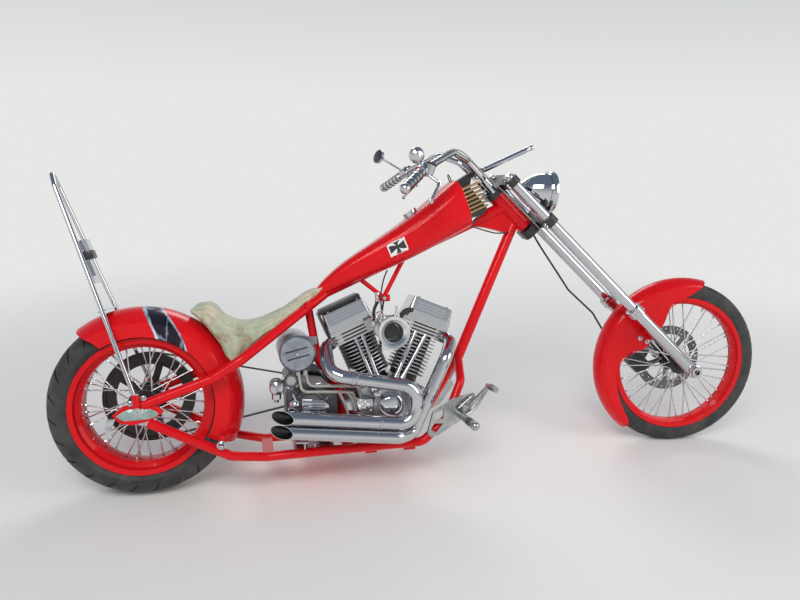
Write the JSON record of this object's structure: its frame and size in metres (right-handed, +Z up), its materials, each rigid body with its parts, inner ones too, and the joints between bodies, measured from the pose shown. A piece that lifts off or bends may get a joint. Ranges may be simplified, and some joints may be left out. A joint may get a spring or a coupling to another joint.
{
  "type": "chopper motorcycle",
  "caption": "Long rigid-frame custom chopper with raked fork, wire wheels, V-twin engine, tapered tank and tall backrest, leaning on its side stand.",
  "frame": {"origin": "centre of the bounding box at floor level, with the motorcycle leaning 14 degrees to its left on the side stand", "axes": "+X forwards along the motorcycle, +Y to the rider's left, +Z up from the floor"},
  "size_m": [2.871, 1.005, 1.2535],
  "materials": {
    "red_paint": "gloss",
    "chrome": "polished",
    "black_metal": "satin",
    "dark_steel": "satin",
    "bare_aluminium": "satin",
    "satin_grey": "satin",
    "tyre": "matte",
    "rubber_line": "matte",
    "braided_line": "satin",
    "worn_leather": "worn",
    "brass": "polished"
  },
  "bodies": {
    "chassis": {"brass_rods": "brass", "cylinders": "black_metal", "drive_belt": "rubber_line", "engine_case": "bare_aluminium", "exhausts": "chrome", "filler_cap": "chrome", "forward_controls": "bare_aluminium", "frame_cross": "red_paint", "frame_down_tube": "red_paint", "frame_neck": "red_paint", "frame_rails": "red_paint", "frame_stays": "red_paint", "gearbox": "bare_aluminium", "intake": "bare_aluminium", "oil_hoses": "braided_line", "oil_tank": "satin_grey", "ornament_housing": "black_metal", "ornament_tubes": "chrome", "primary_cover": "chrome", "pushrods": "chrome", "rear_axle": "chrome", "rear_fender": "red_paint", "rocker_boxes": "chrome", "seat": "worn_leather", "sissy_bar": "chrome", "stand_bracket": "black_metal", "tail_lamp": "chrome", "tank": "red_paint"},
    "rear_wheel": {"rear_tyre": "tyre", "rear_rim": "red_paint", "rear_hub": "black_metal", "drive_pulley": "black_metal"},
    "front_wheel": {"front_tyre": "tyre", "front_rim": "red_paint", "front_hub": "black_metal", "front_disc": "dark_steel"},
    "fork": {"fork_legs": "chrome", "fork_trees": "black_metal", "front_fender": "red_paint", "front_caliper": "black_metal", "headlamp": "chrome", "handlebar": "chrome", "bar_fittings": "chrome", "brake_line": "rubber_line"},
    "stand": {"side_stand": "chrome"}
  },
  "joints": [
    {"name": "rear_wheel_spin", "type": "hinge", "parent": "chassis", "child": "rear_wheel", "pos_m": [-1.10851, -0.13492, 0.31996], "axis": [0, 0.9703, -0.2419], "continuous": true},
    {"name": "steering", "type": "hinge", "parent": "chassis", "child": "fork", "pos_m": [0.32145, 0.03163, 0.98795], "axis": [-0.7169, 0.1687, 0.6765], "range_deg": [-15.8, 34.2]},
    {"name": "front_wheel_spin", "type": "hinge", "parent": "fork", "child": "front_wheel", "pos_m": [1.08395, -0.13708, 0.35095], "axis": [0.1115, 0.9855, -0.1276], "continuous": true},
    {"name": "side_stand_swing", "type": "hinge", "parent": "chassis", "child": "stand", "pos_m": [-0.09851, -0.02896, 0.06706], "axis": [-0.0951, -0.333, -0.9381], "range_deg": [-98.7, 0]}
  ]
}
